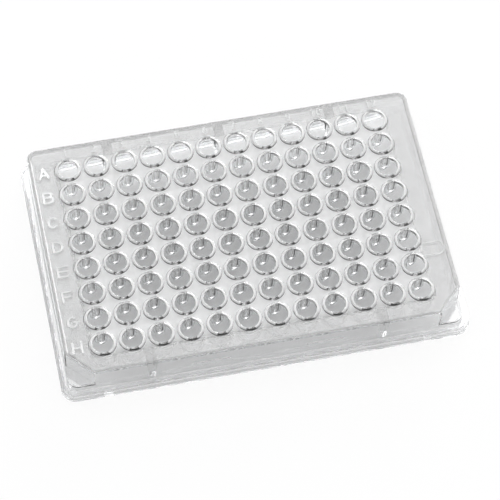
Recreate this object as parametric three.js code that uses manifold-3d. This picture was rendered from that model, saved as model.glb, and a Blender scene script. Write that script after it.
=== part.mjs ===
// A 96-well microplate, injection moulded in one piece from clear polystyrene.
// Millimetres, +Z up. The origin is the middle of the resting plane: column 1 lies towards -X
// and row A towards +Y. A flat deck carries the wells, and a skirt with a wider flange at its
// foot hangs from the deck's edge, so the plate is open underneath.
import * as THREE from "three";
import { mergeVertices } from "three/addons/utils/BufferGeometryUtils.js";
import Module from "manifold-3d";

// The grid of wells, which sets the size of the whole plate.
const COLUMNS = 12;
const ROWS = 8;
const WELL_PITCH = 9;
const EDGE_TO_FIRST_COLUMN = 14.38;
const EDGE_TO_FIRST_ROW = 11.24;

// Heights above the resting plane.
const RIM_TOP = 13.6;
const CORNER_LEDGE_TOP = 5.8;
const FLANGE_TOP = 2.8;

// The deck and its skirt.
const DECK_THICKNESS = 1.3;
const SKIRT_THICKNESS = 1.5;
const LEDGE_THICKNESS = 1.2;
const SKIRT_CORNER_RADIUS = 3.2;
const CORNER_CUT_LENGTH = 7.6;
const CORNER_CUT_WIDTH = 8;

// The flange at the foot of the skirt.
const FLANGE_STEP_LENGTH = 2.3;
const FLANGE_STEP_WIDTH = 2;
const FLANGE_THICKNESS = 1.3;
const FLANGE_CORNER_RADIUS = 4.5;
const NOTCH_LENGTH = 2.7;
const NOTCH_HEIGHT = 0.9;
const NOTCH_FROM_CENTRE = 49.9;

// One well: a round-bottomed tube with a raised rim.
const WELL_RADIUS = 3.15;
const WELL_WALL = 0.75;
const WELL_FLOOR = 0.9;
const RIM_RISE = 0.4;
const RIM_WIDTH = 0.9;
const GAP_UNDER_WELLS = 2;
const WELL_SIDES = 8;
const ROUND_END_RINGS = 2;

// Ribs inside the skirt: one each side of the middle at the front, three at the back.
const RIB_THICKNESS = 3.3;
const RIB_FOOT_THICKNESS = 1.6;
const RIB_LENGTH = 5.8;
const RIB_FOOT = 3.4;
const RIB_COLUMNS_FROM_CENTRE = 4;

// Small marks: two ridges on the front wall, and a U-shaped bead on the deck past the last column.
const RIDGE_LENGTH = 11.6;
const RIDGE_THICKNESS = 0.5;
const RIDGE_RISE = 0.25;
const RIDGE_FROM_CENTRE = 17.6;
const RIDGE_BELOW_DECK = 5.1;
const BEAD_LENGTH = 6.4;
const BEAD_WIDTH = 4.8;
const BEAD_THICKNESS = 0.5;
const BEAD_RISE = 0.2;
const BEAD_FROM_EDGE = 1.2;
const BEAD_ROWS_BELOW_CENTRE = 2;

// Solids that are joined reach this far into each other, and cuts this far past a face.
const OVERLAP = 0.3;

const footprintLength = (COLUMNS - 1) * WELL_PITCH + 2 * EDGE_TO_FIRST_COLUMN;
const footprintWidth = (ROWS - 1) * WELL_PITCH + 2 * EDGE_TO_FIRST_ROW;
const skirtLength = footprintLength - 2 * FLANGE_STEP_LENGTH;
const skirtWidth = footprintWidth - 2 * FLANGE_STEP_WIDTH;
const deckTop = RIM_TOP - RIM_RISE;
const deckUnderside = deckTop - DECK_THICKNESS;

const wasm = await Module();
wasm.setup();

// ---- three.js geometry to solids and back ----

function toSolid(geometry) {
  const bare = geometry.index ? geometry.toNonIndexed() : geometry.clone();
  bare.deleteAttribute("normal");
  bare.deleteAttribute("uv");
  const merged = mergeVertices(bare, 1e-4);
  return new wasm.Manifold(
    new wasm.Mesh({
      numProp: 3,
      vertProperties: merged.attributes.position.array,
      triVerts: new Uint32Array(merged.index.array),
    }),
  );
}

function toGeometry(solid) {
  const { vertProperties, triVerts } = solid.getMesh();
  const geometry = new THREE.BufferGeometry();
  geometry.setAttribute("position", new THREE.BufferAttribute(vertProperties, 3));
  geometry.setIndex(new THREE.BufferAttribute(triVerts, 1));
  geometry.computeVertexNormals();
  return geometry;
}

// ---- outlines and simple solids ----

// A rectangle about the origin with round corners.
function roundedRectangle(length, width, radius) {
  const x = length / 2;
  const y = width / 2;
  const shape = new THREE.Shape();
  shape.moveTo(-x + radius, -y);
  shape.lineTo(x - radius, -y);
  shape.absarc(x - radius, -y + radius, radius, -Math.PI / 2, 0);
  shape.lineTo(x, y - radius);
  shape.absarc(x - radius, y - radius, radius, 0, Math.PI / 2);
  shape.lineTo(-x + radius, y);
  shape.absarc(-x + radius, y - radius, radius, Math.PI / 2, Math.PI);
  shape.lineTo(-x, -y + radius);
  shape.absarc(-x + radius, -y + radius, radius, Math.PI, 1.5 * Math.PI);
  return shape;
}

// The same rectangle with its two front corners cut off straight.
function cutCornerRectangle(length, width, radius, cutLength, cutWidth) {
  const x = length / 2;
  const y = width / 2;
  const shape = new THREE.Shape();
  shape.moveTo(-x + cutLength, -y);
  shape.lineTo(x - cutLength, -y);
  shape.lineTo(x, -y + cutWidth);
  shape.lineTo(x, y - radius);
  shape.absarc(x - radius, y - radius, radius, 0, Math.PI / 2);
  shape.lineTo(-x + radius, y);
  shape.absarc(-x + radius, y - radius, radius, Math.PI / 2, Math.PI);
  shape.lineTo(-x, -y + cutWidth);
  return shape;
}

// An upright prism of the outline, from one height to another.
function prism(shape, bottom, top) {
  const geometry = new THREE.ExtrudeGeometry(shape, {
    depth: top - bottom,
    bevelEnabled: false,
    curveSegments: 4,
  });
  geometry.translate(0, 0, bottom);
  return toSolid(geometry);
}

function box(length, width, height, x, y, z) {
  const geometry = new THREE.BoxGeometry(length, width, height);
  geometry.translate(x, y, z);
  return toSolid(geometry);
}

// A turned solid from a profile of [radius, height] points that starts and ends on the axis.
// The corners are moved out so that the polygon has the area of the round section.
function turned(profile) {
  const step = (2 * Math.PI) / WELL_SIDES;
  const roundness = Math.sqrt(step / Math.sin(step));
  const points = profile.map(([radius, height]) => new THREE.Vector2(radius * roundness, height));
  const geometry = new THREE.LatheGeometry(points, WELL_SIDES);
  geometry.rotateX(Math.PI / 2);
  return toSolid(geometry);
}

// ---- deck, skirt and flange ----

function plateShell() {
  const flange = roundedRectangle(footprintLength, footprintWidth, FLANGE_CORNER_RADIUS);
  const skirt = roundedRectangle(skirtLength, skirtWidth, SKIRT_CORNER_RADIUS);
  const deck = cutCornerRectangle(
    skirtLength,
    skirtWidth,
    SKIRT_CORNER_RADIUS,
    CORNER_CUT_LENGTH,
    CORNER_CUT_WIDTH,
  );
  return prism(flange, 0, FLANGE_TOP)
    .add(prism(skirt, FLANGE_TOP - OVERLAP, CORNER_LEDGE_TOP))
    .add(prism(deck, FLANGE_TOP, deckTop))
    .subtract(shellHollow());
}

// The room under the deck: each part is its outer outline moved in by the wall around it.
function shellHollow() {
  const flange = roundedRectangle(
    footprintLength - 2 * FLANGE_THICKNESS,
    footprintWidth - 2 * FLANGE_THICKNESS,
    FLANGE_CORNER_RADIUS - FLANGE_THICKNESS,
  );
  const insideLength = skirtLength - 2 * SKIRT_THICKNESS;
  const insideWidth = skirtWidth - 2 * SKIRT_THICKNESS;
  const insideRadius = SKIRT_CORNER_RADIUS - SKIRT_THICKNESS;
  const skirt = roundedRectangle(insideLength, insideWidth, insideRadius);
  // A cut corner moved in by the wall keeps its slope, which leaves shorter legs.
  const slope = Math.hypot(CORNER_CUT_LENGTH, CORNER_CUT_WIDTH);
  const shorter = (own, other) => own + (SKIRT_THICKNESS * (slope - other - own)) / other;
  const deck = cutCornerRectangle(
    insideLength,
    insideWidth,
    insideRadius,
    shorter(CORNER_CUT_LENGTH, CORNER_CUT_WIDTH),
    shorter(CORNER_CUT_WIDTH, CORNER_CUT_LENGTH),
  );
  return prism(flange, -OVERLAP, FLANGE_TOP - LEDGE_THICKNESS)
    .add(prism(skirt, -OVERLAP, CORNER_LEDGE_TOP - LEDGE_THICKNESS))
    .add(prism(deck, -OVERLAP, deckUnderside));
}

// ---- wells ----

// A half-round end that starts on the axis and widens upwards to the full radius.
function roundEnd(radius, bottom) {
  const points = [];
  for (let i = 0; i <= ROUND_END_RINGS; i += 1) {
    const angle = (Math.PI / 2) * (i / ROUND_END_RINGS);
    points.push([radius * Math.sin(angle), bottom + radius * (1 - Math.cos(angle))]);
  }
  return points;
}

// The profile goes up the outside of the tube, out inside the deck to the rim's foot on the
// deck's face, up the rim's slope and down inside the well.
function well() {
  const tubeRadius = WELL_RADIUS + WELL_WALL;
  const wellBottom = GAP_UNDER_WELLS + WELL_FLOOR;
  return turned([
    ...roundEnd(tubeRadius, GAP_UNDER_WELLS),
    [tubeRadius, deckTop - OVERLAP],
    [WELL_RADIUS + RIM_WIDTH, deckTop],
    [WELL_RADIUS, RIM_TOP],
    ...roundEnd(WELL_RADIUS, wellBottom).reverse(),
  ]);
}

// A hole through the deck, narrower than the tube that fills it.
function deckHole() {
  const radius = WELL_RADIUS + WELL_WALL / 2;
  return turned([
    [0, deckUnderside - OVERLAP],
    [radius, deckUnderside - OVERLAP],
    [radius, deckTop + OVERLAP],
    [0, deckTop + OVERLAP],
  ]);
}

function wellCentres() {
  const centres = [];
  for (let row = 0; row < ROWS; row += 1) {
    for (let column = 0; column < COLUMNS; column += 1) {
      const x = (column - (COLUMNS - 1) / 2) * WELL_PITCH;
      const y = ((ROWS - 1) / 2 - row) * WELL_PITCH;
      centres.push([x, y]);
    }
  }
  return centres;
}

function atEveryWell(solid) {
  return wasm.Manifold.union(wellCentres().map(([x, y]) => solid.translate(x, y, 0)));
}

// ---- ribs and marks ----

// A rib that runs inwards from the skirt's inner face, thicker at the deck than at its foot.
function rib(x, side) {
  const shape = new THREE.Shape();
  const foot = RIB_FOOT_THICKNESS / 2;
  const head = RIB_THICKNESS / 2;
  shape.moveTo(-foot, RIB_FOOT);
  shape.lineTo(foot, RIB_FOOT);
  shape.lineTo(head, deckUnderside + OVERLAP);
  shape.lineTo(-head, deckUnderside + OVERLAP);
  const length = RIB_LENGTH + OVERLAP;
  const geometry = new THREE.ExtrudeGeometry(shape, { depth: length, bevelEnabled: false });
  geometry.rotateX(Math.PI / 2);
  const inner = skirtWidth / 2 - SKIRT_THICKNESS + OVERLAP;
  geometry.translate(x, side > 0 ? inner : -inner + length, 0);
  return toSolid(geometry);
}

function ribs() {
  const offset = RIB_COLUMNS_FROM_CENTRE * WELL_PITCH;
  return [rib(-offset, -1), rib(offset, -1), rib(-offset, 1), rib(0, 1), rib(offset, 1)];
}

function frontRidge(side) {
  const depth = RIDGE_RISE + OVERLAP;
  return box(
    RIDGE_LENGTH,
    depth,
    RIDGE_THICKNESS,
    side * RIDGE_FROM_CENTRE,
    -skirtWidth / 2 - RIDGE_RISE + depth / 2,
    deckTop - RIDGE_BELOW_DECK,
  );
}

function flangeNotch(side) {
  return box(
    NOTCH_LENGTH,
    FLANGE_THICKNESS + 2 * OVERLAP,
    NOTCH_HEIGHT + OVERLAP,
    side * NOTCH_FROM_CENTRE,
    -footprintWidth / 2 + FLANGE_THICKNESS / 2,
    (NOTCH_HEIGHT - OVERLAP) / 2,
  );
}

// The U opens towards the wells, and its round end lies by the deck's right edge.
function deckBead() {
  const outer = BEAD_WIDTH / 2;
  const inner = outer - BEAD_THICKNESS;
  const centre = skirtLength / 2 - BEAD_FROM_EDGE - outer;
  const open = centre + outer - BEAD_LENGTH;
  const shape = new THREE.Shape();
  shape.moveTo(open, -outer);
  shape.lineTo(centre, -outer);
  shape.absarc(centre, 0, outer, -Math.PI / 2, Math.PI / 2);
  shape.lineTo(open, outer);
  shape.lineTo(open, inner);
  shape.lineTo(centre, inner);
  shape.absarc(centre, 0, inner, Math.PI / 2, -Math.PI / 2, true);
  shape.lineTo(open, -inner);
  const y = -BEAD_ROWS_BELOW_CENTRE * WELL_PITCH;
  return prism(shape, deckTop - OVERLAP, deckTop + BEAD_RISE).translate(0, y, 0);
}

// ---- the plate ----

function wellPlate() {
  const shell = plateShell().subtract(atEveryWell(deckHole()));
  const solids = [shell, atEveryWell(well()), deckBead(), ...ribs(), frontRidge(-1), frontRidge(1)];
  return wasm.Manifold.union(solids).subtract(flangeNotch(-1).add(flangeNotch(1)));
}

const clearPolystyrene = new THREE.MeshStandardMaterial({
  color: 0xe6e8ea,
  roughness: 0.12,
  metalness: 0,
  transparent: true,
  opacity: 0.45,
});

const plate = new THREE.Mesh(toGeometry(wellPlate()), clearPolystyrene);
plate.name = "well_plate";

const group = new THREE.Group();
group.add(plate);

export default group;
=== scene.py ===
"""An empty 96-well microplate of clear polystyrene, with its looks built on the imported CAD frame.

One closed mesh stands for the whole moulding: deck, rims, round-bottomed wells, skirt, flange and
corner ledges are swept from a few profiles, and the ribs, notches, ridges, the U-shaped bead, the
row letters and the column numbers are joined to it or cut from it. Lengths are in millimetres
until a mesh is written, and heights are above the plane that the plate rests on.
"""

import math

import bmesh
import bpy
from mathutils import Matrix, Vector


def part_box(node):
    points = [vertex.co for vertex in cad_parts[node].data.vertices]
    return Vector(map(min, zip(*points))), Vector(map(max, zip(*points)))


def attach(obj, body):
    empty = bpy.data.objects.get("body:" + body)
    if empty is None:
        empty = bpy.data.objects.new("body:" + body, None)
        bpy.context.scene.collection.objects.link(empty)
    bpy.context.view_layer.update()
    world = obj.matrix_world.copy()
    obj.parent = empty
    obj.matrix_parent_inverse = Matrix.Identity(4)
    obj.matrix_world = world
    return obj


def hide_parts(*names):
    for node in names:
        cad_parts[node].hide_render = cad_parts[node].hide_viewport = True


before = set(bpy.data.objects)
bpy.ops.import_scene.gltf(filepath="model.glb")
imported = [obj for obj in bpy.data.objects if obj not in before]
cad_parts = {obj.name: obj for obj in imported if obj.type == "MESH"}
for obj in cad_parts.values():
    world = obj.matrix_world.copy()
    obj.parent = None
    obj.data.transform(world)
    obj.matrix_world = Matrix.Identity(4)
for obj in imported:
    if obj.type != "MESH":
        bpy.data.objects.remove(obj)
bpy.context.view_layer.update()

MM = 0.001

# ---- sizes of the plate ----

plate_low, plate_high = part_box("well_plate")
LENGTH = (plate_high.x - plate_low.x) / MM
WIDTH = (plate_high.y - plate_low.y) / MM
RIM_TOP = plate_high.z / MM

COLUMNS = 12
ROWS = 8
PITCH = 9.0
RIM_RISE = 0.4
DECK = RIM_TOP - RIM_RISE
DECK_THICKNESS = 1.3
UNDERSIDE = DECK - DECK_THICKNESS

# Wells, and the tubes round them that hang from the deck.
MOUTH_RADIUS = 3.15
WELL_FOOT_RADIUS = 3.05
TUBE_RADIUS = 4.4
TUBE_FOOT_RADIUS = 3.9
TUBE_BOTTOM = 1.9
WELL_BOTTOM = 2.9

# A rim's section from outside to inside. The first list has heights above the deck, and the second
# has depths below the rims' tops.
RIM_FOOT = [(4.22, 0.0), (4.12, 0.04)]
RIM_SECTION = [
    (4.02, 0.22),
    (3.62, 0.03),
    (3.5, 0.0),
    (3.26, 0.0),
    (3.18, 0.05),
    (MOUTH_RADIUS, 0.15),
    (MOUTH_RADIUS, 0.3),
]
# A tube meets the deck's underside in a small fillet: the step out and the depth of its points.
TUBE_FILLET = [(0.0, 0.3), (0.0, 0.08), (0.06, 0.0)]

# The skirt, its two cut front corners with a ledge below each cut, and the flange at its foot.
SKIRT_STEP_X = 2.3
SKIRT_STEP_Y = 2.0
SKIRT_THICKNESS = 0.9
SKIRT_RADIUS = 3.2
SKIRT_DRAFT = 0.12
CUT_X = 7.6
CUT_Y = 8.0
CUT_ROUNDING = 0.6
CORNER_LEDGE = 5.8
LEDGE_THICKNESS = 1.2
FLANGE_TOP = 2.8
FLANGE_THICKNESS = 1.3
FLANGE_RADIUS = 4.5
LEAST_RADIUS = 0.4

# The deck's rounded edge, as steps in from the outside and depths below the deck. The last one
# only keeps the wall below it flat.
DECK_EDGE = [(0.1, 0.07), (0.02, 0.3), (0.02, 0.5)]
DECK_EDGE_START = 0.32
WALL_INSET = 0.02
# Each ledge is rounded over between these two depths below it, and rises to its cut by this much.
LEDGE_ROUND = 0.35
LEDGE_ROUND_END = 0.6
LEDGE_EDGE = 0.3
# The fillet where the wall meets the flange, and the roundings of the flange's own edges.
FLANGE_FILLET = 0.25
FLANGE_FILLET_REACH = 0.2
FLANGE_TOP_EDGE = 0.3
FLANGE_TOP_BEVEL = 0.08
FLANGE_FOOT_EDGE = 0.2
FLANGE_INNER_EDGE = 0.15
FLANGE_DRAFT = 0.05
UNDERSIDE_FILLET = 0.3

# How many sides a well has, and how many points its round end, a plate corner and the bend at each
# end of a corner's cut have. The plate's outline has as many points as the sides of its cells.
SIDES = 32
ROUND_STEPS = 6
TINY = 1e-6
CORNER_POINTS = 21
BEND_POINTS = 5

# Ribs inside the skirt, thicker at the deck than at the foot. Each place is an x and a side.
RIB_THICKNESS = 3.3
RIB_FOOT_THICKNESS = 1.6
RIB_LENGTH = 5.8
RIB_FOOT = 3.4
RIB_PLACES = [(-36, -1), (36, -1), (-36, 1), (0, 1), (36, 1)]

# Webs between the tubes of a column, with a U-shaped section.
WEB_WIDTH = 3.3
WEB_ROUNDING = 2.0
WEB_REACH = 0.7
WEB_FOOT = 7.3
WEB_STEPS = 10

# Two notches in the flange's foot and two ridges on the front wall.
NOTCH_LENGTH = 2.7
NOTCH_HEIGHT = 0.9
NOTCH_FROM_CENTRE = 49.9
RIDGE_LENGTH = 11.6
RIDGE_THICKNESS = 0.5
RIDGE_RISE = 0.2
RIDGE_FROM_CENTRE = 17.6
RIDGE_BELOW_DECK = 5.1
RIDGE_SLOPE = 0.15

# Marks that stand proud of the deck: a U-shaped bead, row letters and column numbers. Their sides
# slope in by at most this share of a stroke's width.
MARK_RISE = 0.2
MARK_SLOPE = 0.3
MARK_END_STEPS = 6
BEAD_LENGTH = 6.4
BEAD_WIDTH = 4.8
BEAD_THICKNESS = 0.5
BEAD_FROM_EDGE = 1.2
BEAD_Y = -18.0
# Every mark to the right of this place belongs to the bead.
BEAD_START = 53.0

LETTER_X = -57.3
LETTER_WIDTH = 2.8
LETTER_HEIGHT = 3.5
LETTER_STROKE = 1.0
NUMBER_Y = 38.0
NUMBER_WIDTH = 1.3
NUMBER_HEIGHT = 2.7
NUMBER_STROKE = 0.45
NUMBER_GAP = 0.75

# How far a piece that is joined or cut reaches past the surface that it meets.
OVERLAP = 0.3

# Finishes, in the order of the mesh's material slots.
POLISHED = 0
FROSTED = 1
RIM = 2
MILKY = 3

# Degrees to each side of a rim's front and back that stay clear.
RIM_GAP = 23

# Edges that turn by more than this many degrees stay sharp, and a face whose normal points up by
# more than this is level.
SHARP_ANGLE = 35
LEVEL = 0.99


# ---- mesh helpers ----


class Surface:
    """Points and faces of one mesh. Points that fall together are one point."""

    def __init__(self):
        self.points = []
        self.faces = []
        self.finishes = []
        self.index = {}

    def point(self, x, y, z):
        key = (round(x, 4), round(y, 4), round(z, 4))
        if key not in self.index:
            self.index[key] = len(self.points)
            self.points.append((x * MM, y * MM, z * MM))
        return self.index[key]

    def ring(self, places):
        return [self.point(*place) for place in places]

    def band(self, first, second, finish=POLISHED):
        """Faces between two rings of the same length. A ring of one point closes a pole."""
        count = max(len(first), len(second))
        for i in range(count):
            j = (i + 1) % count
            if len(first) == 1:
                face = (first[0], second[j], second[i])
            elif len(second) == 1:
                face = (first[i], first[j], second[0])
            else:
                face = (first[i], first[j], second[j], second[i])
            self.faces.append(face)
            self.finishes.append(finish[i] if isinstance(finish, list) else finish)

    def mesh(self, name):
        data = bpy.data.meshes.new(name)
        data.from_pydata(self.points, [], self.faces)
        data.polygons.foreach_set("material_index", self.finishes)
        shape = bmesh.new()
        shape.from_mesh(data)
        bmesh.ops.recalc_face_normals(shape, faces=shape.faces)
        shape.to_mesh(data)
        shape.free()
        return data


def add_object(name, data):
    obj = bpy.data.objects.new(name, data)
    bpy.context.scene.collection.objects.link(obj)
    return obj


def combine(target, tool, operation):
    """Joins a closed mesh to the target, or cuts it from it, and removes the tool."""
    modifier = target.modifiers.new(operation, "BOOLEAN")
    modifier.operation = operation
    modifier.solver = "MANIFOLD"
    modifier.object = tool
    graph = bpy.context.evaluated_depsgraph_get()
    made = bpy.data.meshes.new_from_object(target.evaluated_get(graph), depsgraph=graph)
    target.modifiers.clear()
    old = target.data
    target.data = made
    bpy.data.meshes.remove(old)
    bpy.data.objects.remove(tool)


# ---- wells ----


def arc(radius, centre, start, end, steps):
    """[radius, height] points on a circle about the axis, from one angle to another, in degrees."""
    found = []
    for i in range(steps + 1):
        angle = math.radians(start + (end - start) * i / steps)
        found.append((radius * math.cos(angle), centre + radius * math.sin(angle)))
    return found


def rim_finish(i):
    """The i-th face of a rim is clear at its front and back, over the webs, and milky elsewhere."""
    angle = 360 * (i + 0.5) / SIDES
    return POLISHED if min(abs(angle - 90), abs(angle - 270)) < RIM_GAP else RIM


def well_profile():
    """Down from the deck's face: over the rim, down the well, round its end and back outside."""
    rim = [(radius, DECK + height) for radius, height in RIM_FOOT]
    rim += [(radius, RIM_TOP - depth) for radius, depth in RIM_SECTION]
    inner_centre = WELL_BOTTOM + WELL_FOOT_RADIUS
    outer_centre = TUBE_BOTTOM + TUBE_FOOT_RADIUS
    inside = arc(WELL_FOOT_RADIUS, inner_centre, 0, -90, ROUND_STEPS)[:-1]
    outside = arc(TUBE_FOOT_RADIUS, outer_centre, -90, 0, ROUND_STEPS)[1:]
    fillet = [(TUBE_RADIUS + step, UNDERSIDE - depth) for step, depth in TUBE_FILLET]
    profile = rim + inside + [(0, WELL_BOTTOM), (0, TUBE_BOTTOM)] + outside + fillet
    top = [rim_finish(i) for i in range(SIDES)]
    finishes = [FROSTED, POLISHED, POLISHED, top, top, top]
    finishes += [POLISHED] * (len(profile) + 1 - len(finishes))
    return profile, finishes


def cell_side(i):
    """The i-th point of a cell's square outline, seen from its well at the same angles."""
    angle = 2 * math.pi * i / SIDES
    x, y = math.cos(angle), math.sin(angle)
    reach = PITCH / 2 / max(abs(x), abs(y))
    return x * reach, y * reach


def add_well(surface, x, y):
    """One cell of the grid: its square of deck, its well and tube, and the deck's underside."""
    outline = [cell_side(i) for i in range(SIDES)]
    rings = [surface.ring([(x + dx, y + dy, DECK) for dx, dy in outline])]
    profile, finishes = well_profile()
    for radius, height in profile:
        count = SIDES if radius else 1
        places = []
        for i in range(count):
            angle = 2 * math.pi * i / SIDES
            places.append((x + radius * math.cos(angle), y + radius * math.sin(angle), height))
        rings.append(surface.ring(places))
    rings.append(surface.ring([(x + dx, y + dy, UNDERSIDE) for dx, dy in outline]))
    for i, (first, second) in enumerate(zip(rings[:-1], rings[1:])):
        if len(first) == 1 and len(second) == 1:
            continue
        surface.band(first, second, finishes[i])


# ---- deck edge, skirt and flange ----


def block_side(cells):
    """Places along one side of the block of cells, from its start up to the next corner."""
    steps = sorted({round(y, 6) for x, y in map(cell_side, range(SIDES)) if x > PITCH / 2 - TINY})
    starts = [PITCH * (i - (cells - 1) / 2) for i in range(cells)]
    return [start + step for start in starts for step in steps[:-1]]


def block_outline():
    """Places round the whole block of cells, from its front left corner."""
    along, across = block_side(COLUMNS), block_side(ROWS)
    x, y = PITCH * COLUMNS / 2, PITCH * ROWS / 2
    sides = [(a, -y) for a in along] + [(x, a) for a in across]
    return sides + [(-a, y) for a in along] + [(-x, -a) for a in across]


def corner(x, y, radius, start):
    """Points round one corner about its centre, over a quarter turn from the start angle."""
    found = []
    for i in range(CORNER_POINTS):
        angle = math.radians(start + 90 * i / (CORNER_POINTS - 1))
        found.append((x + radius * math.cos(angle), y + radius * math.sin(angle)))
    return found


def between(first, second, count):
    """Points that part the line between two points evenly, without its ends."""
    found = []
    for i in range(1, count + 1):
        share = i / (count + 1)
        found.append(tuple(a + (b - a) * share for a, b in zip(first, second)))
    return found


def bend(place, heading, turn, radius):
    """Points round a bend in an outline, which turns left at a place by an angle in radians."""
    back = radius * math.tan(turn / 2)
    x = place[0] - back * math.cos(heading) - radius * math.sin(heading)
    y = place[1] - back * math.sin(heading) + radius * math.cos(heading)
    found = []
    for i in range(BEND_POINTS):
        angle = heading + turn * i / (BEND_POINTS - 1)
        found.append((x + radius * math.sin(angle), y - radius * math.cos(angle)))
    return found


def cut_corner(side, front, radius):
    """Points along the left corner's cut, from the side wall to the front, with round ends."""
    down = -math.pi / 2
    heading = math.atan2(front[1] - side[1], front[0] - side[0])
    first = bend(side, down, heading - down, radius)
    last = bend(front, heading, -heading, radius)
    return first + between(first[-1], last[0], CORNER_POINTS - 2 * BEND_POINTS) + last


def plate_outline(step_x, step_y, radius, cut=None):
    """The plate's outline moved in from the footprint, with round corners or, at the front, cuts.

    Its points match those of the block of cells, corner for corner."""
    x, y = LENGTH / 2 - step_x, WIDTH / 2 - step_y
    corners = [
        corner(-x + radius, -y + radius, radius, 180),
        corner(x - radius, -y + radius, radius, 270),
        corner(x - radius, y - radius, radius, 0),
        corner(-x + radius, y - radius, radius, 90),
    ]
    if cut:
        left = cut_corner((-x, -y + cut[1]), (-x + cut[0], -y), CUT_ROUNDING)
        corners[0] = left
        corners[1] = [(-a, b) for a, b in reversed(left)]
    half = CORNER_POINTS // 2
    found = []
    for i, cells in enumerate((COLUMNS, ROWS, COLUMNS, ROWS)):
        first, last = corners[i][half:], corners[(i + 1) % 4][:half]
        count = cells * SIDES // 4 - len(first) - len(last)
        found += first + between(first[-1], last[0], count) + last
    return found


def front_corner_points():
    """Which places in an outline belong to the two front corners."""
    half = CORNER_POINTS // 2
    long_side, total = COLUMNS * SIDES // 4, (COLUMNS + ROWS) * SIDES // 2
    left = {i % total for i in range(-half, half + 1)}
    return left | {i + long_side for i in range(-half, half + 1)}


def inner_cut(wall):
    """The legs of a corner cut that lies one wall inside the outer cut, in the inner outline."""
    slope = math.hypot(CUT_X, CUT_Y)
    return (
        CUT_X + wall * (slope - CUT_Y - CUT_X) / CUT_Y,
        CUT_Y + wall * (slope - CUT_X - CUT_Y) / CUT_X,
    )


def add_skirt(surface):
    """Rings from the block of cells out over the deck's edge, down the outside, in at the foot,
    up the inside and back to the block on the deck's underside."""
    cut, inside_cut = (CUT_X, CUT_Y), inner_cut(SKIRT_THICKNESS)
    ledge_corners = front_corner_points()

    def skirt(inset, height, cut_here, ledge=None):
        radius = max(SKIRT_RADIUS - inset, LEAST_RADIUS)
        outline = plate_outline(SKIRT_STEP_X + inset, SKIRT_STEP_Y + inset, radius, cut_here)
        heights = [height] * len(outline)
        if ledge is not None:
            heights = [ledge if i in ledge_corners else height for i in range(len(outline))]
        return [(x, y, z) for (x, y), z in zip(outline, heights)]

    def flange(inset, height):
        radius = max(FLANGE_RADIUS - inset, LEAST_RADIUS)
        return [(x, y, height) for x, y in plate_outline(inset, inset, radius)]

    def ledge_rings(inset, top, cut_here):
        """Up round a ledge: the skirt's whole corners below it, then the cut ones on it."""
        return [
            skirt(inset, top - LEDGE_ROUND_END, None, top - LEDGE_EDGE),
            skirt(inset, top - LEDGE_ROUND, None, top),
            skirt(inset, top, cut_here),
        ]

    wall = SKIRT_THICKNESS
    inside = wall + SKIRT_DRAFT
    flange_under = FLANGE_TOP - LEDGE_THICKNESS
    deck_rings = [
        [(x, y, DECK) for x, y in block_outline()],
        skirt(wall, DECK, cut),
        skirt(DECK_EDGE_START, DECK, cut),
    ]
    rings = deck_rings + [skirt(inset, DECK - depth, cut) for inset, depth in DECK_EDGE]
    rings += reversed(ledge_rings(WALL_INSET, CORNER_LEDGE, cut))
    rings += [
        skirt(0, FLANGE_TOP + FLANGE_FILLET, None),
        skirt(-FLANGE_FILLET_REACH, FLANGE_TOP, None),
        flange(FLANGE_TOP_EDGE, FLANGE_TOP),
        flange(FLANGE_TOP_BEVEL, FLANGE_TOP - FLANGE_TOP_BEVEL),
        flange(0, FLANGE_TOP - FLANGE_TOP_EDGE),
        flange(0, FLANGE_FOOT_EDGE),
        flange(FLANGE_FOOT_EDGE, 0),
        flange(FLANGE_THICKNESS - FLANGE_INNER_EDGE, 0),
        flange(FLANGE_THICKNESS, FLANGE_INNER_EDGE),
        flange(FLANGE_THICKNESS + FLANGE_DRAFT, flange_under),
        skirt(wall, flange_under, None),
    ]
    rings += ledge_rings(wall, CORNER_LEDGE - LEDGE_THICKNESS, inside_cut)
    rings += [
        skirt(inside, UNDERSIDE - UNDERSIDE_FILLET, inside_cut),
        skirt(inside + UNDERSIDE_FILLET, UNDERSIDE, inside_cut),
        [(x, y, UNDERSIDE) for x, y in block_outline()],
    ]
    made = [surface.ring(places) for places in rings]
    for i, (first, second) in enumerate(zip(made[:-1], made[1:])):
        surface.band(second, first, FROSTED if i + 1 < len(deck_rings) else POLISHED)


# ---- the whole moulding ----


def moulding():
    """All the wells, the deck between them, the skirt and the flange as one closed mesh."""
    surface = Surface()
    for row in range(ROWS):
        for column in range(COLUMNS):
            x = PITCH * (column - (COLUMNS - 1) / 2)
            y = PITCH * ((ROWS - 1) / 2 - row)
            add_well(surface, x, y)
    add_skirt(surface)
    return surface.mesh("plate")


# ---- ribs, notches and ridges ----


def convex_solid(name, points):
    """The closed hull of a set of points, for a tool that is joined or cut."""
    shape = bmesh.new()
    for x, y, z in points:
        shape.verts.new((x * MM, y * MM, z * MM))
    made = bmesh.ops.convex_hull(shape, input=shape.verts)
    unused = [v for v in made["geom_interior"] + made["geom_unused"] if v.is_valid]
    bmesh.ops.delete(shape, geom=list(set(unused)), context="VERTS")
    bmesh.ops.recalc_face_normals(shape, faces=shape.faces)
    data = bpy.data.meshes.new(name)
    shape.to_mesh(data)
    shape.free()
    return add_object(name, data)


def box_solid(low, high):
    xs, ys, zs = zip(low, high)
    return convex_solid("box", [(x, y, z) for x in xs for y in ys for z in zs])


def rib(x, side):
    """A rib that hangs under the deck from the front or the back wall."""
    wall = WIDTH / 2 - SKIRT_STEP_Y - SKIRT_THICKNESS
    ends = ((RIB_FOOT_THICKNESS / 2, RIB_FOOT), (RIB_THICKNESS / 2, UNDERSIDE + OVERLAP))
    points = []
    for y in (side * (wall + OVERLAP), side * (wall - RIB_LENGTH)):
        for half, z in ends:
            points += [(x - half, y, z), (x + half, y, z)]
    return convex_solid("rib", points)


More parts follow.
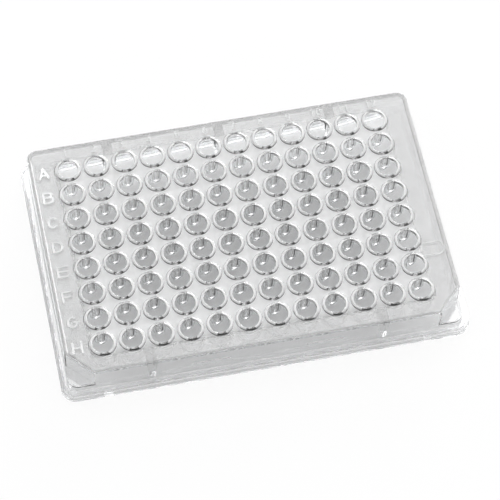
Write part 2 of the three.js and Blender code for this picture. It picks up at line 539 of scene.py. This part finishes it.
def ridge(side):
    """A low ridge on the front wall, which narrows to its top."""
    x = side * RIDGE_FROM_CENTRE
    wall = -WIDTH / 2 + SKIRT_STEP_Y
    z = DECK - RIDGE_BELOW_DECK
    points = []
    for y, shrink in ((wall + OVERLAP, 0), (wall, 0), (wall - RIDGE_RISE, RIDGE_SLOPE)):
        for dx in (-1, 1):
            for dz in (-1, 1):
                points.append((
                    x + dx * (RIDGE_LENGTH / 2 - shrink),
                    y,
                    z + dz * (RIDGE_THICKNESS / 2 - shrink),
                ))
    return convex_solid("ridge", points)


def notch(side):
    """The block that is cut from the front flange's foot."""
    x = side * NOTCH_FROM_CENTRE
    y = -WIDTH / 2
    low = (x - NOTCH_LENGTH / 2, y - OVERLAP, -OVERLAP)
    high = (x + NOTCH_LENGTH / 2, y + FLANGE_THICKNESS + OVERLAP, NOTCH_HEIGHT)
    return box_solid(low, high)


# ---- marks on the deck ----


def stroke_solid(start, end, width):
    """A raised stroke between two places on the deck, with round ends and sloping sides."""
    along = math.atan2(end[1] - start[1], end[0] - start[0])
    slope = min(MARK_RISE, width * MARK_SLOPE)
    points = []
    for z, half in (
        (DECK - OVERLAP, width / 2),
        (DECK, width / 2),
        (DECK + MARK_RISE, width / 2 - slope),
    ):
        for (x, y), turn in ((start, 90), (end, -90)):
            for i in range(MARK_END_STEPS + 1):
                angle = along + math.radians(turn + 180 / MARK_END_STEPS * i)
                points.append((x + half * math.cos(angle), y + half * math.sin(angle), z))
    return convex_solid("stroke", points)


def bow(x, y, width, height, start, end, steps=8):
    """Points on an ellipse, by its centre and its half sizes, between two angles in degrees."""
    found = []
    for i in range(steps + 1):
        angle = math.radians(start + (end - start) * i / steps)
        found.append((x + width * math.cos(angle), y + height * math.sin(angle)))
    return found


# Each sign is drawn in a box from 0 to 1 both ways, as one or more lines of points.
SIGNS = {
    "A": [[(0, 0), (0.5, 1), (1, 0)], [(0.16, 0.32), (0.84, 0.32)]],
    "B": [
        [(0.55, 0.54), (0, 0.54), (0, 1), (0.55, 1), *bow(0.55, 0.77, 0.38, 0.23, 90, -90)],
        [(0, 0.54), (0, 0), (0.55, 0), *bow(0.55, 0.27, 0.45, 0.27, -90, 90)],
    ],
    "C": [bow(0.5, 0.5, 0.5, 0.5, 48, 312, 12)],
    "D": [[(0.4, 0), (0, 0), (0, 1), (0.4, 1), *bow(0.4, 0.5, 0.6, 0.5, 90, -90)]],
    "E": [[(1, 1), (0, 1), (0, 0), (1, 0)], [(0, 0.52), (0.85, 0.52)]],
    "F": [[(1, 1), (0, 1), (0, 0)], [(0, 0.52), (0.85, 0.52)]],
    "G": [bow(0.5, 0.5, 0.5, 0.5, 48, 360, 14), [(1, 0.5), (0.6, 0.5)]],
    "H": [[(0, 0), (0, 1)], [(1, 0), (1, 1)], [(0, 0.5), (1, 0.5)]],
    "0": [bow(0.5, 0.5, 0.5, 0.5, 0, 360, 14)],
    "1": [[(0.25, 0.78), (0.6, 1), (0.6, 0)]],
    "2": [[*bow(0.5, 0.72, 0.45, 0.28, 170, -30), (0.05, 0), (1, 0)]],
    "3": [[*bow(0.45, 0.75, 0.45, 0.25, 150, -90), *bow(0.45, 0.26, 0.5, 0.26, 90, -150)]],
    "4": [[(0.75, 0), (0.75, 1), (0, 0.3), (1, 0.3)]],
    "5": [[(0.9, 1), (0.15, 1), (0.1, 0.56), *bow(0.45, 0.32, 0.5, 0.32, 120, -150)]],
    "6": [[*bow(0.5, 0.32, 0.48, 0.32, 150, -210, 12), (0.2, 0.75), (0.75, 1)]],
    "7": [[(0.05, 1), (0.95, 1), (0.4, 0)]],
    "8": [bow(0.5, 0.76, 0.4, 0.24, -90, 270, 12), bow(0.5, 0.27, 0.5, 0.27, 90, 450, 12)],
    "9": [[*bow(0.5, 0.68, 0.48, 0.32, -30, 330, 12), (0.8, 0.25), (0.25, 0)]],
}


def mark_lines():
    """Every line of the marks on the deck, as points in millimetres and a stroke's width."""
    found = []

    def sign(character, x, y, width, height, stroke):
        for line in SIGNS[character]:
            places = [(x + (u - 0.5) * width, y + (v - 0.5) * height) for u, v in line]
            found.append((places, stroke))

    for row in range(ROWS):
        y = PITCH * ((ROWS - 1) / 2 - row)
        sign("ABCDEFGH"[row], LETTER_X, y, LETTER_WIDTH, LETTER_HEIGHT, LETTER_STROKE)
    for column in range(COLUMNS):
        digits = str(column + 1)
        step = NUMBER_WIDTH + NUMBER_GAP
        for i, digit in enumerate(digits):
            x = PITCH * (column - (COLUMNS - 1) / 2) + step * (i - (len(digits) - 1) / 2)
            sign(digit, x, NUMBER_Y, NUMBER_WIDTH, NUMBER_HEIGHT, NUMBER_STROKE)
    reach = (BEAD_WIDTH - BEAD_THICKNESS) / 2
    centre = LENGTH / 2 - SKIRT_STEP_X - BEAD_FROM_EDGE - BEAD_WIDTH / 2
    open_end = centre + BEAD_WIDTH / 2 - BEAD_LENGTH
    loop = bow(centre, BEAD_Y, reach, reach, -90, 90, 16)
    found.append(([(open_end, BEAD_Y - reach), *loop, (open_end, BEAD_Y + reach)], BEAD_THICKNESS))
    return found


def marks():
    """All the marks as one closed mesh."""
    solid = None
    for places, width in mark_lines():
        for start, end in zip(places[:-1], places[1:]):
            piece = stroke_solid(start, end, width)
            if solid:
                combine(solid, piece, "UNION")
            else:
                solid = piece
    return solid


def mark_finish(face):
    """A mark's sides are milky, and its top matches the deck. The thin bead is milky all over."""
    bead = face.center.x > BEAD_START * MM
    return FROSTED if face.normal.z > LEVEL and not bead else MILKY


def web_outline():
    """Half of a web's width and the height at each point round its U-shaped section."""
    low = WEB_FOOT + WEB_ROUNDING
    top = UNDERSIDE + OVERLAP
    found = [(WEB_WIDTH / 2, top)]
    for i in range(WEB_STEPS + 1):
        angle = math.pi * i / WEB_STEPS
        found.append((WEB_WIDTH / 2 * math.cos(angle), low - WEB_ROUNDING * math.sin(angle)))
    return found + [(-WEB_WIDTH / 2, top)]


def web_solids():
    """Webs that join each tube to the next one in its column, each with a round foot."""
    surface = Surface()
    for column in range(COLUMNS):
        for row in range(ROWS - 1):
            x = PITCH * (column - (COLUMNS - 1) / 2)
            y = PITCH * ((ROWS - 2) / 2 - row)
            rings = []
            for reach in (-WEB_REACH, WEB_REACH):
                rings.append(surface.ring([(x + dx, y + reach, z) for dx, z in web_outline()]))
            surface.band(rings[0], rings[1], POLISHED)
            for ring in rings:
                surface.faces.append(tuple(ring))
                surface.finishes.append(POLISHED)
    return surface.mesh("webs")


# ---- the plate ----


def coat(obj, materials, finish=None):
    """Gives an object the plate's materials and, by a function of the face, its finishes."""
    for material in materials:
        obj.data.materials.append(material)
    if finish:
        for face in obj.data.polygons:
            face.material_index = finish(face)
    return obj


def make_plate(materials):
    """The moulding with its webs, ribs, ridges and marks joined to it and its notches cut."""
    plate = coat(add_object("plate", moulding()), materials)
    combine(plate, coat(add_object("webs", web_solids()), materials), "UNION")
    for x, side in RIB_PLACES:
        combine(plate, coat(rib(x, side), materials), "UNION")
    for side in (-1, 1):
        combine(plate, coat(ridge(side), materials), "UNION")
        combine(plate, coat(notch(side), materials), "DIFFERENCE")
    combine(plate, coat(marks(), materials, mark_finish), "UNION")
    data = plate.data
    data.polygons.foreach_set("use_smooth", [True] * len(data.polygons))
    data.set_sharp_from_angle(angle=math.radians(SHARP_ANGLE))
    return plate


# ---- materials ----

WHITE = (1, 1, 1, 1)
PLASTIC = (0.97, 0.975, 0.98, 1)
REFRACTION = 1.59
# What a shadow ray keeps at each face of the plastic. It sets how light the floor below it is.
SHADOW_TINT = (0.75, 0.75, 0.75, 1)
# The absorption inside the plastic, per metre.
ABSORPTION_TINT = (0.5, 0.5, 0.5, 1)
ABSORPTION = 30.0

# The deck among the wells is rough and milky, and its border is smoother and clearer. The field
# reaches this far from the centre, and its edge is soft over this distance to each side.
FIELD_X = 51.5
FIELD_Y = 34.0
FIELD_EDGE = 1.5

# Each of these is uneven: the size of its spots in millimetres, its value, and how far noise moves
# it up and down.
FIELD_CLEAR = (0.8, 0.15, 0.08)
FIELD_ROUGH = (0.8, 0.6, 0.08)
FIELD_HAZE = (1.2, 0.3, 0.05)
BORDER_CLEAR = (5.0, 0.85, 0.03)
BORDER_ROUGH = (4.0, 0.22, 0.05)
RIM_CLEAR = (1.5, 0.45, 0.05)
RIM_HAZE = (1.5, 0.12, 0.05)
MILKY_CLEAR = (1.0, 0.35, 0.05)
POLISHED_ROUGH = (6.0, 0.05, 0.03)

# The size of the bump's spots and its height, in millimetres.
POLISHED_BUMP = (2.5, 0.01)
FROSTED_BUMP = (0.9, 0.06)
BUMP_DETAIL = 3.0


def new_material(name):
    material = bpy.data.materials.new(name)
    material.use_nodes = True
    tree = material.node_tree
    tree.nodes.clear()
    return material, tree


def add_node(tree, kind, inputs=None, **settings):
    """A new node, with its inputs linked where they are sockets and set where they are values."""
    made = tree.nodes.new(kind)
    for key, value in settings.items():
        setattr(made, key, value)
    for key, value in (inputs or {}).items():
        if isinstance(value, bpy.types.NodeSocket):
            tree.links.new(value, made.inputs[key])
        else:
            made.inputs[key].default_value = value
    return made


def noise(tree, size, detail=2.0):
    """Noise over the surface, whose largest spots are about `size` millimetres across."""
    place = add_node(tree, "ShaderNodeTexCoord").outputs["Object"]
    return add_node(tree, "ShaderNodeTexNoise", {
        "Vector": place,
        "Scale": 1 / MM / size,
        "Detail": detail,
    }).outputs["Fac"]


def spread(tree, value, low, high, start=0.3, end=0.7):
    """The value between start and end stretched to run from low to high, and held there."""
    return add_node(tree, "ShaderNodeMapRange", {
        "Value": value, "From Min": start, "From Max": end, "To Min": low, "To Max": high,
    }).outputs["Result"]


def maths(tree, operation, first, second=0.0):
    """The outcome of a Math node on one or two sockets or numbers."""
    return add_node(tree, "ShaderNodeMath", {0: first, 1: second}, operation=operation).outputs[0]


def polystyrene(name, relief, roughness, clearness=None, haze=None):
    """Clear plastic with fine bump. The last three are functions that add nodes to the material
    and give its roughness, how much of it is clear, and how much light passes it scattered."""
    material, tree = new_material(name)
    size, height = relief
    bump = add_node(tree, "ShaderNodeBump", {
        "Height": noise(tree, size, BUMP_DETAIL),
        "Strength": 1.0,
        "Distance": height * MM,
    })
    plastic = add_node(tree, "ShaderNodeBsdfPrincipled", {
        "Base Color": PLASTIC,
        "Transmission Weight": clearness(tree) if clearness else 1.0,
        "IOR": REFRACTION,
        "Roughness": roughness(tree),
        "Normal": bump.outputs["Normal"],
    })
    ray = add_node(tree, "ShaderNodeLightPath")
    through = add_node(tree, "ShaderNodeBsdfTransparent", {"Color": SHADOW_TINT})
    body = plastic
    if haze:
        glow = add_node(tree, "ShaderNodeBsdfTranslucent", {
            "Color": PLASTIC,
            "Normal": bump.outputs["Normal"],
        })
        body = add_node(tree, "ShaderNodeMixShader", {
            0: haze(tree),
            1: plastic.outputs["BSDF"],
            2: glow.outputs["BSDF"],
        })
    surface = add_node(tree, "ShaderNodeMixShader", {
        0: ray.outputs["Is Shadow Ray"],
        1: body.outputs[0],
        2: through.outputs["BSDF"],
    })
    grey = add_node(tree, "ShaderNodeVolumeAbsorption", {
        "Color": ABSORPTION_TINT,
        "Density": ABSORPTION,
    })
    add_node(tree, "ShaderNodeOutputMaterial", {
        "Surface": surface.outputs["Shader"],
        "Volume": grey.outputs["Volume"],
    })
    return material


def field(tree):
    """1 among the wells and 0 on the deck's border, with a soft edge between them."""
    place = add_node(tree, "ShaderNodeTexCoord").outputs["Object"]
    axes = add_node(tree, "ShaderNodeSeparateXYZ", {0: place})
    past_x = maths(tree, "SUBTRACT", maths(tree, "ABSOLUTE", axes.outputs["X"]), FIELD_X * MM)
    past_y = maths(tree, "SUBTRACT", maths(tree, "ABSOLUTE", axes.outputs["Y"]), FIELD_Y * MM)
    past = maths(tree, "MAXIMUM", past_x, past_y)
    return spread(tree, past, 1.0, 0.0, -FIELD_EDGE * MM, FIELD_EDGE * MM)


def uneven(tree, size, value, change):
    """A value that noise with spots of this size moves up and down by at most the change."""
    return spread(tree, noise(tree, size), value - change, value + change)


def deck_clearness(tree):
    return add_node(tree, "ShaderNodeMix", {
        "Factor": field(tree),
        "A": uneven(tree, *BORDER_CLEAR),
        "B": uneven(tree, *FIELD_CLEAR),
    }).outputs[0]


def deck_roughness(tree):
    return add_node(tree, "ShaderNodeMix", {
        "Factor": field(tree),
        "A": uneven(tree, *BORDER_ROUGH),
        "B": uneven(tree, *FIELD_ROUGH),
    }).outputs[0]


def deck_haze(tree):
    return maths(tree, "MULTIPLY", field(tree), uneven(tree, *FIELD_HAZE))


def rim_clearness(tree):
    return uneven(tree, *RIM_CLEAR)


def rim_haze(tree):
    return uneven(tree, *RIM_HAZE)


def milky_clearness(tree):
    return uneven(tree, *MILKY_CLEAR)


def polished_roughness(tree):
    return uneven(tree, *POLISHED_ROUGH)


# ---- stage, lights and camera ----

# How much of the floor is plain white to a camera ray, a transmitted ray and a mirrored ray. The
# rest of it is matt, and holds the plate's shadow.
FLOOR_GLOW = 0.92
FLOOR_GLOW_THROUGH = 0.08
FLOOR_GLOW_MIRRORED = 0.1
FLOOR_TINT = (0.86, 0.9)
FLOOR_SPOTS = 40
# Half of the floor's side in metres, and the gap under the plate in millimetres.
FLOOR_REACH = 3
FLOOR_GAP = 0.1

# The studio is grey and grows lighter overhead, with a bright band at the horizon that fades out
# upwards. The rays are given by how steeply they rise, from 0 to 1.
OVERHEAD_TONE = (0.25, 0.7)
OVERHEAD_RAYS = (0.2, 0.95)
HORIZON_TONE = (4.0, 0.0)
HORIZON_RAYS = (0.02, 0.35)

# Each lamp's name, its place, width and height in metres, and its power in watts.
LAMPS = [
    ("softbox", (0.25, 0.68, 1.05), 1.0, 0.6, 6.2),
    ("window", (0.539, 1.013, 0.351), 0.5, 0.5, 7.1),
    ("fill", (-0.7, 0.1, 0.7), 0.3, 0.3, 0.8),
]

# The camera's lens, its place in millimetres, and its own axes in the plate's frame.
LENS = 180.487
SENSOR_WIDTH = 36
CLIP_START = 0.01
CAMERA_PLACE = (-92.4, -388.21, 681.46)
CAMERA_RIGHT = (0.97892321, -0.20315983, 0.0208671)
CAMERA_DOWN = (-0.16503244, -0.84709414, -0.50516909)
CAMERA_AHEAD = (0.12030646, 0.49107799, -0.86276808)


def make_floor():
    """A pale floor that the camera sees as near white, with the plate's shadow on it."""
    material, tree = new_material("floor_white")
    tint = spread(tree, noise(tree, FLOOR_SPOTS), *FLOOR_TINT)
    colour = add_node(tree, "ShaderNodeCombineColor", {0: tint, 1: tint, 2: tint}).outputs[0]
    matte = add_node(tree, "ShaderNodeBsdfDiffuse", {"Color": colour})
    white = add_node(tree, "ShaderNodeEmission", {"Color": WHITE, "Strength": 1.0})
    ray = add_node(tree, "ShaderNodeLightPath")
    seen = maths(tree, "MULTIPLY", ray.outputs["Is Camera Ray"], FLOOR_GLOW)
    through = maths(tree, "MULTIPLY", ray.outputs["Is Transmission Ray"], FLOOR_GLOW_THROUGH)
    mirrored = maths(tree, "MULTIPLY", ray.outputs["Is Glossy Ray"], FLOOR_GLOW_MIRRORED)
    mixed = add_node(tree, "ShaderNodeMixShader", {
        0: maths(tree, "ADD", seen, maths(tree, "ADD", through, mirrored)),
        1: matte.outputs["BSDF"],
        2: white.outputs["Emission"],
    })
    add_node(tree, "ShaderNodeOutputMaterial", {"Surface": mixed.outputs["Shader"]})
    data = bpy.data.meshes.new("floor")
    signs = [(-1, -1), (1, -1), (1, 1), (-1, 1)]
    corners = [(x * FLOOR_REACH, y * FLOOR_REACH, 0) for x, y in signs]
    data.from_pydata(corners, [], [(0, 1, 2, 3)])
    data.materials.append(material)
    floor = add_object("floor", data)
    floor.location.z = -FLOOR_GAP * MM


def make_world():
    """White to the rays that show the background, and a graded studio to those that light."""
    world = bpy.data.worlds.new("studio")
    world.use_nodes = True
    tree = world.node_tree
    tree.nodes.clear()
    place = add_node(tree, "ShaderNodeTexCoord").outputs["Generated"]
    axes = add_node(tree, "ShaderNodeSeparateXYZ", {0: place})
    overhead = spread(tree, axes.outputs["Z"], *OVERHEAD_TONE, *OVERHEAD_RAYS)
    horizon = spread(tree, axes.outputs["Z"], *HORIZON_TONE, *HORIZON_RAYS)
    tone = maths(tree, "ADD", overhead, horizon)
    colour = add_node(tree, "ShaderNodeCombineColor", {0: tone, 1: tone, 2: tone}).outputs[0]
    sky = add_node(tree, "ShaderNodeBackground", {"Color": colour, "Strength": 1.0})
    white = add_node(tree, "ShaderNodeBackground", {"Color": WHITE, "Strength": 1.0})
    ray = add_node(tree, "ShaderNodeLightPath").outputs
    straight = maths(tree, "MAXIMUM", ray["Is Camera Ray"], ray["Is Transmission Ray"])
    shown = maths(tree, "MAXIMUM", straight, ray["Is Glossy Ray"])
    mixed = add_node(tree, "ShaderNodeMixShader", {
        0: shown,
        1: sky.outputs["Background"],
        2: white.outputs["Background"],
    })
    add_node(tree, "ShaderNodeOutputWorld", {"Surface": mixed.outputs["Shader"]})
    bpy.context.scene.world = world


def area_light(name, place, width, height, power):
    """A lamp that faces the plate's centre."""
    light = bpy.data.lights.new(name, "AREA")
    light.shape = "RECTANGLE"
    light.size = width
    light.size_y = height
    light.energy = power
    lamp = bpy.data.objects.new(name, light)
    bpy.context.scene.collection.objects.link(lamp)
    lamp.location = place
    aim = -Vector(place)
    lamp.rotation_euler = aim.to_track_quat("-Z", "Y").to_euler()


def make_camera():
    data = bpy.data.cameras.new("camera")
    data.sensor_width = SENSOR_WIDTH
    data.lens = LENS
    data.clip_start = CLIP_START
    camera = bpy.data.objects.new("camera", data)
    bpy.context.scene.collection.objects.link(camera)
    right, down, ahead = Vector(CAMERA_RIGHT), Vector(CAMERA_DOWN), Vector(CAMERA_AHEAD)
    turn = Matrix((right, -down, -ahead)).transposed()
    camera.matrix_world = Matrix.Translation(Vector(CAMERA_PLACE) * MM) @ turn.to_4x4()
    bpy.context.scene.camera = camera


# ---- the scene ----

plate = make_plate([
    polystyrene("polished_polystyrene", POLISHED_BUMP, polished_roughness),
    polystyrene("frosted_polystyrene", FROSTED_BUMP, deck_roughness, deck_clearness, deck_haze),
    polystyrene("rim_polystyrene", POLISHED_BUMP, polished_roughness, rim_clearness, rim_haze),
    polystyrene("milky_polystyrene", POLISHED_BUMP, polished_roughness, milky_clearness, rim_haze),
])
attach(plate, "root")
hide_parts("well_plate")

make_floor()
make_world()
for lamp in LAMPS:
    area_light(*lamp)
make_camera()

# Light crosses many faces of clear plastic on its way.
cycles = bpy.context.scene.cycles
cycles.max_bounces = 24
cycles.transmission_bounces = 24
cycles.transparent_max_bounces = 32
cycles.glossy_bounces = 8
bpy.context.scene.view_settings.view_transform = "Standard"
